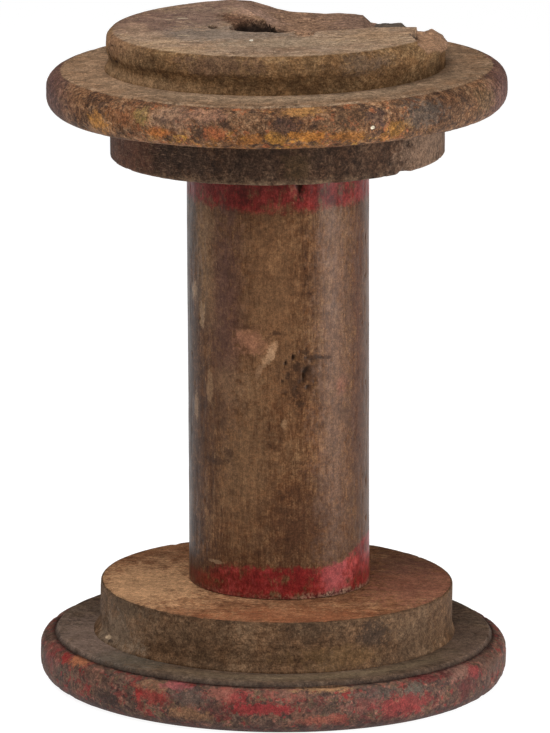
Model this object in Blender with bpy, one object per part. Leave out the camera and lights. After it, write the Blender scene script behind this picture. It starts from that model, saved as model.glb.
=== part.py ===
"""An empty wooden mill spool: a bored barrel between two heads, each built up of turned discs.

Metres, +Z up. The spool stands on its bottom rim, with the origin under the middle of that rim.
"""

import math

import bmesh
import bpy
from mathutils import Matrix, Vector

MM = 0.001
GAP = 0.3 * MM  # clearance wherever two pieces meet
SEGMENTS = 72  # facets round a turned piece
ARC_STEPS = 4  # facets along a rounded corner

# Bottom head: a wide rim on the floor and a smaller backing disc on it
BOTTOM_RIM_RADIUS = 91.5 * MM
BOTTOM_RIM_HEIGHT = 19.3 * MM  # at the backing disc
BOTTOM_RIM_FOOT_ROUND = 7.8 * MM
BOTTOM_RIM_TOP_ROUND = 6.0 * MM
BOTTOM_RIM_EDGE_DROP = 0.2 * MM  # the rounded edge stays this much below the seat
BOTTOM_CREASE_DEPTH = 0.8 * MM  # a crease runs round the inside of the rounded edge
BOTTOM_CREASE_WIDTH = 1.0 * MM
BOTTOM_LIP_RISE = 0.6 * MM  # the lip inside the crease stands above the seat
BOTTOM_BACKING_RADIUS = 69.1 * MM
BOTTOM_BACKING_THICKNESS = 20.2 * MM
BOTTOM_BACKING_OFFSET = 1.0 * MM  # off the rim's centre, in X
BOTTOM_BACKING_RISE = 0.4 * MM  # the top face rises to the barrel

# Barrel: it leans because its two shoulders aren't quite parallel
BARREL_RADIUS = 35.4 * MM
BARREL_LENGTH = 169.1 * MM  # between its shoulders
BARREL_OFFSET = 2.1 * MM  # off the bottom rim's centre, in X
BARREL_LEAN = math.radians(-0.87)
SPIGOT_RADIUS = 22.0 * MM
SPIGOT_CLEARANCE = 0.4 * MM
BOTTOM_SPIGOT_LENGTH = 37.0 * MM
BORE_RADIUS = 8.5 * MM

# Top head: backing disc, wide rim and outer boss, all tilted together
TOP_LEAN = math.radians(-1.39)
TOP_BACKING_RADIUS = 64.9 * MM
TOP_BACKING_THICKNESS = 17.4 * MM
TOP_BACKING_ROUND = 1.2 * MM
TOP_RIM_RADIUS = 89.3 * MM
TOP_RIM_THICKNESS = 17.4 * MM
TOP_RIM_UNDER_ROUND = 7.2 * MM
TOP_RIM_OVER_ROUND = 7.0 * MM
TOP_RIM_FALL = 0.2 * MM  # the top face falls towards the edge
TOP_SPIGOT_LENGTH = TOP_BACKING_THICKNESS + TOP_RIM_THICKNESS - 1.0 * MM

# Boss: the outer disc, with a waist under its rounded shoulder and a flared foot
BOSS_RADIUS = 66.2 * MM
BOSS_THICKNESS = 15.5 * MM
BOSS_SHOULDER_ROUND = 4.2 * MM
BOSS_WAIST_RADIUS = 65.0 * MM
BOSS_FOOT_RADIUS = 67.6 * MM
BOSS_FOOT_LIP = 0.4 * MM
BOSS_COVE_ROUND = 3.2 * MM
BOSS_OFFSET = 0.3 * MM
LOST_SLAB_DEPTH = 6.2 * MM  # a slab split off the boss along the grain
BORE_WEAR_RADIUS = 11.5 * MM
BORE_WEAR_CENTRE = Vector((-4.8, -1.5)) * MM

# Fixings: a nail sunk beside the bore, and hidden pegs between rim and backing disc
NAIL_PLACE = Vector((-25.0, 1.2)) * MM
NAIL_RADIUS = 1.0 * MM
NAIL_LENGTH = 22.0 * MM
NAIL_SUNK = 3.0 * MM
PEG_RADIUS = 4.0 * MM
PEG_LENGTH = 18.0 * MM
PEG_CIRCLE = 45.0 * MM
PEG_COUNT = 4
FIXING_SEGMENTS = 16

BOTTOM_TOP = BOTTOM_RIM_HEIGHT + BOTTOM_BACKING_THICKNESS


def clear_scene():
    for thing in list(bpy.data.objects):
        bpy.data.objects.remove(thing, do_unlink=True)


def finish(name, colour, roughness, metallic=0.0):
    """One Principled material."""
    material = bpy.data.materials.new(name)
    material.use_nodes = True
    shader = material.node_tree.nodes["Principled BSDF"]
    shader.inputs["Base Color"].default_value = (*colour, 1.0)
    shader.inputs["Roughness"].default_value = roughness
    shader.inputs["Metallic"].default_value = metallic
    return material


def rounded(corners):
    """The outline through the corners (radius, height, fillet), each fillet drawn as an arc."""
    outline = []
    for index, (radius, height, fillet) in enumerate(corners):
        corner = Vector((radius, height))
        if fillet == 0:
            outline.append(corner)
            continue
        back = (Vector(corners[index - 1][:2]) - corner).normalized()
        ahead = (Vector(corners[index + 1][:2]) - corner).normalized()
        half = back.angle(ahead) / 2
        centre = corner + (back + ahead).normalized() * fillet / math.sin(half)
        start = corner + back * fillet / math.tan(half) - centre
        turn = math.copysign(math.pi - 2 * half, ahead.cross(back))
        for step in range(ARC_STEPS + 1):
            outline.append(centre + Matrix.Rotation(turn * step / ARC_STEPS, 2) @ start)
    return outline


def circle(radius, segments, centre=(0.0, 0.0)):
    """Points round a circle in plan."""
    for step in range(segments):
        angle = 2 * math.pi * step / segments
        yield Vector((centre[0] + radius * math.cos(angle), centre[1] + radius * math.sin(angle)))


def make_object(name, mesh, material=None, parent=None):
    thing = bpy.data.objects.new(name, mesh)
    bpy.context.scene.collection.objects.link(thing)
    thing.parent = parent
    if material:
        mesh.materials.append(material)
        mesh.shade_smooth()
        mesh.set_sharp_from_angle(angle=math.radians(35))
    else:
        thing.hide_render = True
        thing.display_type = "WIRE"
    return thing


def mesh_of_rings(name, rings, closed):
    """Joins rings of points into one skin; closed joins the last ring to the first, else the ends are capped."""
    shape = bmesh.new()
    rows = [[shape.verts.new(point) for point in ring] for ring in rings]
    pairs = list(zip(rows, rows[1:]))
    if closed:
        pairs.append((rows[-1], rows[0]))
    for low, high in pairs:
        for step in range(len(low)):
            following = (step + 1) % len(low)
            shape.faces.new((low[step], low[following], high[following], high[step]))
    if not closed:
        shape.faces.new(rows[0])
        shape.faces.new(rows[-1])
    bmesh.ops.recalc_face_normals(shape, faces=shape.faces)
    mesh = bpy.data.meshes.new(name)
    shape.to_mesh(mesh)
    shape.free()
    return mesh


def ring_at(radius, height, offset=0.0):
    return [Vector((point.x, point.y, height)) for point in circle(radius, SEGMENTS, (offset, 0.0))]


def disc(name, outline, bore, offset, material, parent):
    """A turned disc: the outline runs up its outer side, off centre by offset, round a bore on the axis."""
    bottom, top = outline[0].y, outline[-1].y
    rings = [ring_at(bore, bottom)]
    rings += [ring_at(point.x, point.y, offset) for point in outline[1:-1]]
    rings.append(ring_at(bore, top))
    return make_object(name, mesh_of_rings(name, rings, closed=True), material, parent)


def round_bar(name, radius, low, high, place):
    """A plain round bar along Z, its centre at place."""
    rings = [
        [Vector((point.x, point.y, height)) for point in circle(radius, FIXING_SEGMENTS, place)]
        for height in (low, high)
    ]
    return mesh_of_rings(name, rings, closed=False)


def prism(name, plan, low, high):
    """An upright prism over a plan outline, given in metres."""
    rings = [[Vector((point[0], point[1], height)) for point in plan] for height in (low, high)]
    return mesh_of_rings(name, rings, closed=False)


def cut(target, mesh):
    """Cuts the mesh, in the target's own frame, out of the target."""
    cutter = make_object(mesh.name, mesh, parent=target)
    modifier = target.modifiers.new(mesh.name, "BOOLEAN")
    modifier.operation = "DIFFERENCE"
    modifier.solver = "EXACT"
    modifier.object = cutter


def frame_empty(name, matrix):
    """An empty that carries one head."""
    empty = bpy.data.objects.new(name, None)
    bpy.context.scene.collection.objects.link(empty)
    empty.matrix_world = matrix
    return empty


def peg_places():
    for index in range(PEG_COUNT):
        angle = 2 * math.pi * (index + 0.5) / PEG_COUNT
        yield PEG_CIRCLE * Vector((math.cos(angle), math.sin(angle)))


def bottom_frame():
    """The frame of the bottom head: on the barrel's axis, level, at the height of its joint with the barrel."""
    return Matrix.Translation((BARREL_OFFSET, 0.0, BOTTOM_TOP))


def top_frame():
    """The frame of the top head: at the barrel's upper shoulder, tilted with the head."""
    rise = Vector((math.sin(BARREL_LEAN), 0.0, math.cos(BARREL_LEAN))) * BARREL_LENGTH
    return Matrix.Translation(rise) @ bottom_frame() @ Matrix.Rotation(TOP_LEAN, 4, "Y")


def add_barrel(material):
    """The barrel with a spigot at each end and a bore right through; each half follows its own head's frame."""
    low, high = bottom_frame(), top_frame()
    stations = (
        (BORE_RADIUS, -BOTTOM_SPIGOT_LENGTH, low),
        (SPIGOT_RADIUS, -BOTTOM_SPIGOT_LENGTH, low),
        (SPIGOT_RADIUS, GAP, low),
        (BARREL_RADIUS, GAP, low),
        (BARREL_RADIUS, -GAP, high),
        (SPIGOT_RADIUS, -GAP, high),
        (SPIGOT_RADIUS, TOP_SPIGOT_LENGTH, high),
        (BORE_RADIUS, TOP_SPIGOT_LENGTH, high),
    )
    rings = [[frame @ point for point in ring_at(radius, height)] for radius, height, frame in stations]
    make_object("barrel", mesh_of_rings("barrel", rings, closed=True), material)


def add_bottom_head(rim_material, backing_material):
    """The bottom rim and the backing disc on it, both bored for the barrel's spigot."""
    head = frame_empty("bottom_head", bottom_frame())
    hole = SPIGOT_RADIUS + SPIGOT_CLEARANCE
    floor = -BOTTOM_TOP
    seat = floor + BOTTOM_RIM_HEIGHT
    edge = seat - BOTTOM_RIM_EDGE_DROP
    crease = BOTTOM_RIM_RADIUS - BOTTOM_RIM_TOP_ROUND
    outline = rounded(
        (
            (hole, floor, 0),
            (BOTTOM_RIM_RADIUS, floor, BOTTOM_RIM_FOOT_ROUND),
            (BOTTOM_RIM_RADIUS, edge, BOTTOM_RIM_TOP_ROUND),
            (crease - BOTTOM_CREASE_WIDTH / 2, edge - BOTTOM_CREASE_DEPTH, 0),
            (crease - BOTTOM_CREASE_WIDTH, seat + BOTTOM_LIP_RISE, 0),
            (BOTTOM_BACKING_RADIUS, seat, 0),
            (hole, seat, 0),
        )
    )
    rim = disc("bottom_rim_disc", outline, hole, -BARREL_OFFSET, rim_material, head)

    underside = seat + GAP
    outline = [
        Vector((hole, underside)),
        Vector((BOTTOM_BACKING_RADIUS, underside)),
        Vector((BOTTOM_BACKING_RADIUS, -BOTTOM_BACKING_RISE)),
        Vector((BARREL_RADIUS, 0.0)),
        Vector((hole, 0.0)),
    ]
    offset = BOTTOM_BACKING_OFFSET - BARREL_OFFSET
    backing = disc("bottom_backing_disc", outline, hole, offset, backing_material, head)
    return head, rim, backing, seat


def boss_outline(base):
    """The boss from its underside up: flared foot, cove, waist and rounded shoulder."""
    top = base + BOSS_THICKNESS
    hole = BORE_RADIUS
    waist = base + BOSS_FOOT_LIP + BOSS_COVE_ROUND
    return rounded(
        (
            (hole, base, 0),
            (BOSS_FOOT_RADIUS, base, 0),
            (BOSS_FOOT_RADIUS, base + BOSS_FOOT_LIP, 0),
            (BOSS_WAIST_RADIUS, waist, BOSS_COVE_ROUND),
            (BOSS_RADIUS, top - 2 * BOSS_SHOULDER_ROUND, 0),
            (BOSS_RADIUS, top, BOSS_SHOULDER_ROUND),
            (hole, top, 0),
        )
    )


def lost_slab_plan():
    """Plan of the slab that split off the back right of the boss, ragged towards the front."""
    reach = BOSS_RADIUS * 1.3
    ragged_front = (
        (-5.0, 14.0),
        (7.5, -9.0),
        (15.4, -11.0),
        (30.0, -7.2),
        (38.0, -1.5),
        (46.5, -3.0),
        (52.0, -27.0),
        (54.5, -41.0),
    )
    plan = [(x * MM, y * MM) for x, y in ragged_front]
    plan += [(reach, -BOSS_RADIUS / 2), (reach, reach), (-7.0 * MM, reach)]
    return plan


def add_top_head(rim_material, backing_material, boss_material):
    """The backing disc, the rim and the boss, stacked on the barrel's upper shoulder."""
    head = frame_empty("top_head", top_frame())
    hole = SPIGOT_RADIUS + SPIGOT_CLEARANCE
    joint = TOP_BACKING_THICKNESS
    outline = rounded(
        (
            (hole, 0.0, 0),
            (TOP_BACKING_RADIUS, 0.0, TOP_BACKING_ROUND),
            (TOP_BACKING_RADIUS, joint, 0),
            (hole, joint, 0),
        )
    )
    backing = disc("top_backing_disc", outline, hole, 0.0, backing_material, head)

    under = joint + GAP
    over = joint + TOP_RIM_THICKNESS
    outline = rounded(
        (
            (hole, under, 0),
            (TOP_RIM_RADIUS, under, TOP_RIM_UNDER_ROUND),
            (TOP_RIM_RADIUS, over - TOP_RIM_FALL, TOP_RIM_OVER_ROUND),
            (BOSS_FOOT_RADIUS, over, 0),
            (hole, over, 0),
        )
    )
    rim = disc("top_rim_disc", outline, hole, 0.0, rim_material, head)

    base = over + GAP
    boss = disc("top_boss_disc", boss_outline(base), BORE_RADIUS, BOSS_OFFSET, boss_material, head)
    top = base + BOSS_THICKNESS
    above = top + BOSS_THICKNESS
    cut(boss, prism("lost_slab", lost_slab_plan(), top - LOST_SLAB_DEPTH, above))
    cut(boss, round_bar("bore_wear", BORE_WEAR_RADIUS, top - LOST_SLAB_DEPTH * 2, above, BORE_WEAR_CENTRE))
    return head, rim, backing, boss, joint, top


def add_nail(head, boss, rim, top, material):
    """The nail beside the bore, sunk below the boss's face, in a hole through the boss and into the rim."""
    high = top - NAIL_SUNK
    low = high - NAIL_LENGTH
    hole = NAIL_RADIUS + GAP
    for target in (boss, rim):
        cut(target, round_bar(target.name + "_nail_hole", hole, low - GAP, top + NAIL_SUNK, NAIL_PLACE))
    mesh = round_bar("boss_nail", NAIL_RADIUS, low, high, NAIL_PLACE)
    make_object("boss_nail", mesh, material, head)


def add_pegs(prefix, head, joint, discs, material):
    """Pegs across the joint between a rim and its backing disc, in blind holes in both."""
    reach = PEG_LENGTH / 2
    for number, place in enumerate(peg_places(), start=1):
        name = f"{prefix}_{number}"
        for target in discs:
            hole = f"{name}_hole_in_{target.name}"
            cut(target, round_bar(hole, PEG_RADIUS + GAP, joint - reach - GAP, joint + reach + GAP, place))
        mesh = round_bar(name, PEG_RADIUS, joint - reach, joint + reach, place)
        make_object(name, mesh, material, head)


def build():
    clear_scene()
    barrel_wood = finish("barrel_wood", (0.085, 0.052, 0.036), 0.55)
    boss_wood = finish("boss_wood", (0.17, 0.115, 0.08), 0.8)
    top_rim_wood = finish("top_rim_wood", (0.16, 0.095, 0.055), 0.7)
    top_backing_wood = finish("top_backing_wood", (0.09, 0.055, 0.038), 0.65)
    bottom_backing_wood = finish("bottom_backing_wood", (0.26, 0.145, 0.08), 0.7)
    bottom_rim_paint = finish("bottom_rim_paint", (0.2, 0.085, 0.07), 0.65)
    peg_wood = finish("peg_wood", (0.35, 0.22, 0.12), 0.75)
    iron = finish("iron", (0.06, 0.045, 0.04), 0.7, metallic=0.8)

    add_barrel(barrel_wood)
    head, rim, backing, joint = add_bottom_head(bottom_rim_paint, bottom_backing_wood)
    add_pegs("bottom_head_peg", head, joint, (rim, backing), peg_wood)
    head, rim, backing, boss, joint, top = add_top_head(top_rim_wood, top_backing_wood, boss_wood)
    add_pegs("top_head_peg", head, joint, (backing, rim), peg_wood)
    add_nail(head, boss, rim, top, iron)


build()
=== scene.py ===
"""Looks of an empty wooden mill spool: worn turned discs, a painted barrel and a boss that has split."""

import math

import bpy
import numpy as np
from mathutils import Matrix, Vector


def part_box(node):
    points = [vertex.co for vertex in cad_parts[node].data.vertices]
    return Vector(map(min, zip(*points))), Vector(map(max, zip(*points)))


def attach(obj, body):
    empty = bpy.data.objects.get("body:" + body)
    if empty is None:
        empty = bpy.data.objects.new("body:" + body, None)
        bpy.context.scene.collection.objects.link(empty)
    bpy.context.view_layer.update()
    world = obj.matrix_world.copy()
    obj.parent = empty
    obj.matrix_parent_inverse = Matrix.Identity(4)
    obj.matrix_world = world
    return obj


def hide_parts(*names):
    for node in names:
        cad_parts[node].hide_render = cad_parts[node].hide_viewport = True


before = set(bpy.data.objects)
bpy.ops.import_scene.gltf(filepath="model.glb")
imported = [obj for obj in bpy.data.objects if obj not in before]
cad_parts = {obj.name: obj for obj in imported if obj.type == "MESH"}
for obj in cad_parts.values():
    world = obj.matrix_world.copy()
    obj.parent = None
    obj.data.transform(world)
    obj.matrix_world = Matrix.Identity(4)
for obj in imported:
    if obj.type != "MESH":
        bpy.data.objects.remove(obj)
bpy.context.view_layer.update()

MM = 0.001
TOP_LEAN = math.radians(-1.39)
FINE = 0.8  # spacing of a visible surface's points, mm
COARSE = 5.0  # spacing where two pieces hide the surface, mm
STEPS_ROUND = 640  # points round a disc
LATTICE = 32  # cells across the noise before it repeats
BACKING_SINK = 0.35  # how far the bottom backing reaches into the worn rim below it, mm
BOSS_SINK = 0.4  # how far the boss reaches into the worn rim below it, mm
SHARP_EDGE = math.radians(50)  # a sharper corner than this is shaded as an edge

CAMERA_ELEVATION = math.radians(12.55)
CAMERA_ROLL = math.radians(0.64)
CAMERA_DISTANCE = 2.863  # m
CAMERA_LENS = 361.0  # mm
CAMERA_SENSOR = 36.0  # mm
CAMERA_TARGET = Vector((-0.63, 0.0, 124.3)) * MM
FLOOR_REACH = 12.0  # half the floor's width, m
LIGHT_AIM = Vector((0.0, 0.0, 0.13))  # about the middle of the spool, m
WORLD_LIGHT = 0.08  # the world's strength as a light
WORLD_SEEN = 0.97  # its strength as the camera sees it


# ---------------------------------------------------------------- places, from the frame


def head_frame(node, lean):
    """A frame on the axis of a head, at the middle of one of its discs."""
    low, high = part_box(node)
    return Matrix.Translation((Vector(low) + Vector(high)) / 2) @ Matrix.Rotation(lean, 4, "Y")


def measured(node, place):
    """A node in a frame: its points in mm."""
    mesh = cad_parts[node].data
    points = np.empty(len(mesh.vertices) * 3)
    mesh.vertices.foreach_get("co", points)
    back = np.array(place.inverted())
    return (points.reshape(-1, 3) @ back[:3, :3].T + back[:3, 3]) / MM


def lengths(node, place):
    """In its head's frame: a disc's middle in X, radius, lowest and highest height and bore's radius."""
    points = measured(node, place)
    low, high = points.min(axis=0), points.max(axis=0)
    hole = np.hypot(points[:, 0], points[:, 1]).min()
    return (low[0] + high[0]) / 2, (high[1] - low[1]) / 2, low[2], high[2], hole


def bottom_frame():
    """The frame of the bottom head: upright, on the axis of the barrel's foot."""
    level = head_frame("bottom_backing_disc", 0.0)
    points = measured("barrel", level)
    foot = points[points[:, 2] < points[:, 2].min() + 1.0]
    return level @ Matrix.Translation(((foot[:, 0].min() + foot[:, 0].max()) / 2 * MM, 0.0, 0.0))


TOP = head_frame("top_backing_disc", TOP_LEAN)
BOTTOM = bottom_frame()


# ---------------------------------------------------------------- shapes


def lumps(points, size, seed):
    """Smooth noise from -1 to 1 at points in mm; size is the width of a lump, one number or three."""
    table = np.random.default_rng(seed).uniform(-1.0, 1.0, (LATTICE, LATTICE, LATTICE))
    places = points / np.asarray(size, float)
    cell = np.floor(places).astype(int)
    blend = places - cell
    blend = blend * blend * (3.0 - 2.0 * blend)
    total = np.zeros(points.shape[:-1])
    for corner in np.ndindex(2, 2, 2):
        weight = np.prod(np.where(corner, blend, 1.0 - blend), axis=-1)
        index = (cell + corner) % LATTICE
        total += weight * table[index[..., 0], index[..., 1], index[..., 2]]
    return total


def fractal(points, size, seed, octaves=3):
    """Lumps with finer lumps on them."""
    total = 0.0
    for octave in range(octaves):
        total = total + lumps(points, np.asarray(size, float) / 2**octave, seed + octave) / 2**octave
    return total


def ease(value, low, high):
    """0 at low, 1 at high, smooth between; low may be the larger."""
    share = np.clip((value - low) / (high - low), 0.0, 1.0)
    return share * share * (3.0 - 2.0 * share)


def near(value, centre, width):
    """1 at the centre, falling evenly to 0 at width."""
    return np.clip(1.0 - np.abs(value - centre) / width, 0.0, 1.0)


def facing(points, degrees, width, middle=0.0):
    """1 facing this way round the axis, 0 past width degrees from it; 0 is the front, 90 the right."""
    turn = np.degrees(np.arctan2(points[..., 0] - middle, -points[..., 1])) - degrees
    return near((turn + 180.0) % 360.0 - 180.0, 0.0, width)


def rounded(corners, arc_steps=8):
    """The outline through the corners (radius, height, fillet), each fillet drawn as an arc."""
    outline = []
    for index, (radius, height, fillet) in enumerate(corners):
        corner = Vector((radius, height))
        if fillet == 0:
            outline.append(corner)
            continue
        back = (Vector(corners[index - 1][:2]) - corner).normalized()
        ahead = (Vector(corners[index + 1][:2]) - corner).normalized()
        half = back.angle(ahead) / 2
        centre = corner + (back + ahead).normalized() * fillet / math.sin(half)
        start = corner + back * fillet / math.tan(half) - centre
        turn = math.copysign(math.pi - 2 * half, ahead.cross(back))
        for step in range(arc_steps + 1):
            outline.append(centre + Matrix.Rotation(turn * step / arc_steps, 2) @ start)
    return np.array([tuple(point) for point in outline])


def spaced(points, gap):
    """The same line with a point about every gap; its corners stay."""
    made = []
    for start, end in zip(points, points[1:]):
        count = max(1, int(round(np.linalg.norm(end - start) / gap)))
        made += [start + (end - start) * step / count for step in range(count)]
    return made


def section(visible, hidden):
    """A closed outline: the visible stretch finely spaced, then the hidden stretch back to its start."""
    return np.array(spaced(visible, FINE) + spaced(np.vstack((visible[-1:], hidden, visible[:1])), COARSE))


def swept(outline, middle, bore):
    """The outline turned round the axis; points outside the bore are moved by middle in X."""
    angle = np.linspace(0.0, 2 * math.pi, STEPS_ROUND, endpoint=False)
    radius, height = outline[:, 0, None], outline[:, 1, None]
    shift = np.where(radius > bore + 0.01, middle, 0.0)
    across = radius * np.cos(angle) + shift
    return np.stack((across, radius * np.sin(angle), np.broadcast_to(height, across.shape)), axis=-1)


def turned(corners, middle, hole, high, low):
    """A disc's swept grid: its rounded corners, then down the wall of its bore."""
    return swept(section(rounded(corners), np.array(((hole, high), (hole, low)))), middle, hole)


def normals(grid):
    """Outward directions on a swept grid."""
    along = np.roll(grid, -1, axis=0) - np.roll(grid, 1, axis=0)
    around = np.roll(grid, -1, axis=1) - np.roll(grid, 1, axis=1)
    out = np.cross(around, along)
    return out / np.maximum(np.linalg.norm(out, axis=-1, keepdims=True), 1e-9)


def worn(grid, depth):
    """Moves a swept grid inwards by depth in mm, so wear never adds size."""
    return grid - normals(grid) * depth[..., None]


def handling(points, seed, deep):
    """Wear all over a turned piece: long shallow lows and smaller dents, in mm."""
    broad = 0.5 + 0.5 * fractal(points, 26.0, seed)
    small = np.clip(fractal(points, 6.0, seed + 9) - 0.25, 0.0, 1.0)
    return np.clip(deep * (0.7 * broad + 0.9 * small), 0.0, None)


def pitting(points, size, seed, level, deep):
    """Separate pits: how far each point lies inside one, from 0 to deep."""
    return deep * np.clip((lumps(points, size, seed) - level) / (1.0 - level), 0.0, 1.0)


def dent(points, centre, size):
    """A dent at a place in mm: 1 in its middle, falling smoothly to 0 at its size from it."""
    away = np.linalg.norm((points - np.array(centre)) / np.asarray(size, float), axis=-1)
    return ease(away, 1.0, 0.0)


def skin(name, grid):
    """A closed mesh from a swept grid in mm."""
    rings, steps = grid.shape[:2]
    here = np.arange(rings * steps).reshape(rings, steps)
    along = np.roll(here, -1, axis=0)
    faces = np.stack((here, np.roll(here, -1, axis=1), np.roll(along, -1, axis=1), along), axis=-1)
    mesh = bpy.data.meshes.new(name)
    mesh.from_pydata(grid.reshape(-1, 3) * MM, [], faces.reshape(-1, 4).tolist())
    mesh.update()
    return mesh


def store(mesh, name, values):
    """Keeps a number or a vector for each point, for the materials to read."""
    values = np.asarray(values, dtype=np.float32)
    kind, field = ("FLOAT_VECTOR", "vector") if values.shape[-1] == 3 else ("FLOAT", "value")
    layer = mesh.attributes.get(name) or mesh.attributes.new(name, kind, "POINT")
    layer.data.foreach_set(field, values.ravel())


def place_piece(name, mesh, place, material, node):
    """Makes the piece that stands for one CAD node and hands it to the frame."""
    mesh.transform(place)
    mesh.materials.clear()
    mesh.materials.append(material)
    mesh.shade_smooth()
    mesh.set_sharp_from_angle(angle=SHARP_EDGE)
    piece = bpy.data.objects.new(name, mesh)
    bpy.context.scene.collection.objects.link(piece)
    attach(piece, "root")
    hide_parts(node)


# ---------------------------------------------------------------- materials


def srgb(red, green, blue):
    """A display colour from 0 to 255 as a linear colour."""
    parts = (red / 255, green / 255, blue / 255)
    return tuple(p / 12.92 if p <= 0.04045 else ((p + 0.055) / 1.055) ** 2.4 for p in parts) + (1.0,)


class Paint:
    """Builds one material's nodes. Places come from the stored local coordinates, in mm."""

    def __init__(self, name):
        self.material = bpy.data.materials.new(name)
        self.material.use_nodes = True
        self.tree = self.material.node_tree
        self.shader = self.tree.nodes["Principled BSDF"]
        self.local = self.stored("local", "Vector")
        self.x, self.y, self.z = self.node("ShaderNodeSeparateXYZ", {"Vector": self.local}).outputs

    def node(self, kind, inputs=None, **settings):
        made = self.tree.nodes.new(kind)
        for key, value in settings.items():
            setattr(made, key, value)
        for key, value in (inputs or {}).items():
            self.plug(made.inputs[key], value)
        return made

    def plug(self, socket, value):
        if isinstance(value, bpy.types.NodeSocket):
            self.tree.links.new(value, socket)
        else:
            socket.default_value = value

    def stored(self, name, output="Fac"):
        return self.node("ShaderNodeAttribute", attribute_name=name).outputs[output]

    def placed(self, centre, size):
        """The local coordinates measured from a centre, in sizes."""
        inputs = {
            "Vector": self.local,
            "Location": tuple(-c / s for c, s in zip(centre, size)),
            "Scale": tuple(1.0 / s for s in size),
        }
        return self.node("ShaderNodeMapping", inputs).outputs[0]

    def noise(self, size, seed, detail=3.0, rough=0.6, distortion=0.0):
        """Noise about 0.5 whose lumps are size mm wide, one number or three."""
        sizes = size if isinstance(size, tuple) else (size, size, size)
        centre = tuple(s * seed * k for s, k in zip(sizes, (7.31, 3.17, 5.73)))
        inputs = {"Vector": self.placed(centre, sizes), "Scale": 1.0, "Detail": detail, "Roughness": rough}
        inputs["Distortion"] = distortion
        return self.node("ShaderNodeTexNoise", inputs).outputs[0]

    def fine_grain(self, scale):
        """Noise placed by a CAD piece's own position, for pieces without stored coordinates."""
        position = self.node("ShaderNodeNewGeometry").outputs["Position"]
        return self.node("ShaderNodeTexNoise", {"Vector": position, "Scale": scale, "Detail": 4.0}).outputs[0]

    def calc(self, operation, first, second=0.0, third=0.0):
        made = self.node("ShaderNodeMath", operation=operation)
        for socket, value in zip(made.inputs, (first, second, third)):
            self.plug(socket, value)
        return made.outputs[0]

    def layered(self, *layers):
        """0.5 plus some layers of noise about 0; each layer is (size, seed, weight)."""
        total = 0.5
        for size, seed, weight in layers:
            shifted = self.calc("SUBTRACT", self.noise(size, seed), 0.5)
            total = self.calc("MULTIPLY_ADD", shifted, weight, total)
        return total

    def step(self, value, low, high):
        """0 at low, 1 at high, smooth between; low may be the larger."""
        names = ("Value", "From Min", "From Max", "To Min", "To Max")
        values = (value, low, high, 0.0, 1.0) if low < high else (value, high, low, 1.0, 0.0)
        inputs = dict(zip(names, values))
        return self.node("ShaderNodeMapRange", inputs, interpolation_type="SMOOTHSTEP").outputs[0]

    def both(self, *masks):
        total = masks[0]
        for mask in masks[1:]:
            total = self.calc("MULTIPLY", total, mask)
        return total

    def spot(self, centre, size, ragged, soft=0.3):
        """1 inside a patch round a centre in mm; ragged moves its edge, from layered noise."""
        inputs = {0: self.placed(centre, size)}
        away = self.node("ShaderNodeVectorMath", inputs, operation="LENGTH").outputs["Value"]
        return self.step(self.calc("ADD", away, ragged), 1.5 + soft, 1.5 - soft)

    def mix(self, mask, first, second, blend="MIX"):
        made = self.node("ShaderNodeMix", data_type="RGBA", blend_type=blend)
        self.plug(made.inputs[0], mask)
        self.plug(made.inputs[6], first)
        self.plug(made.inputs[7], second)
        return made.outputs[2]

    def over(self, colour, tint, *masks):
        """Lays a display colour over another where every mask allows."""
        return self.mix(self.both(*masks), colour, srgb(*tint))

    def region(self, name, ragged, wander, low, high):
        """A stored region; its edge wanders with ragged by (scale, offset) and runs from low to high."""
        moved = self.calc("ADD", self.stored(name), self.calc("MULTIPLY_ADD", ragged, *wander))
        return self.step(moved, low, high)

    def ramp(self, value, *stops):
        """Display colours along a value; each stop is (place, colour)."""
        return self.gradient(value, [(place, srgb(*colour)) for place, colour in stops])

    def gradient(self, value, stops):
        """Linear colours along a value."""
        made = self.node("ShaderNodeValToRGB", {"Fac": value})
        points = made.color_ramp.elements
        while len(points) < len(stops):
            points.new(0.5)
        for point, (position, colour) in zip(points, stops):
            point.position = position
            point.color = colour
        return made.outputs[0]

    def spots(self, colour, ragged, patches, soft=0.3):
        """Lays patches over a colour; each is (centre, size, display colour, strength)."""
        for centre, size, tint, strength in patches:
            colour = self.over(colour, tint, self.spot(centre, size, ragged, soft), strength)
        return colour

    def grimy(self, colour, seed, strength, level):
        """Fine dirt and wear laid over every colour alike, so that no patch is flat."""
        grime = self.layered(
            (2.6, seed, 0.9), (1.1, seed + 1, 1.2), (0.5, seed + 2, 1.4), (6.0, seed + 3, 0.6)
        )
        stops = ((0.2, 0.42), (0.5, 0.95), (0.8, 1.75))
        tones = self.gradient(grime, [(place, (level * tone,) * 3 + (1.0,)) for place, tone in stops])
        return self.mix(strength, colour, tones, "MULTIPLY")

    def done(self, colour, roughness, height, relief, specular=0.4):
        """Plugs in the colour, roughness and bump; relief is the bump's depth in mm."""
        bump = self.node("ShaderNodeBump", {"Height": height, "Strength": 1.0, "Distance": relief * MM})
        self.plug(self.shader.inputs["Base Color"], colour)
        self.plug(self.shader.inputs["Roughness"], roughness)
        self.plug(self.shader.inputs["Normal"], bump.outputs[0])
        self.shader.inputs["Specular IOR Level"].default_value = specular
        return self.material


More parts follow.
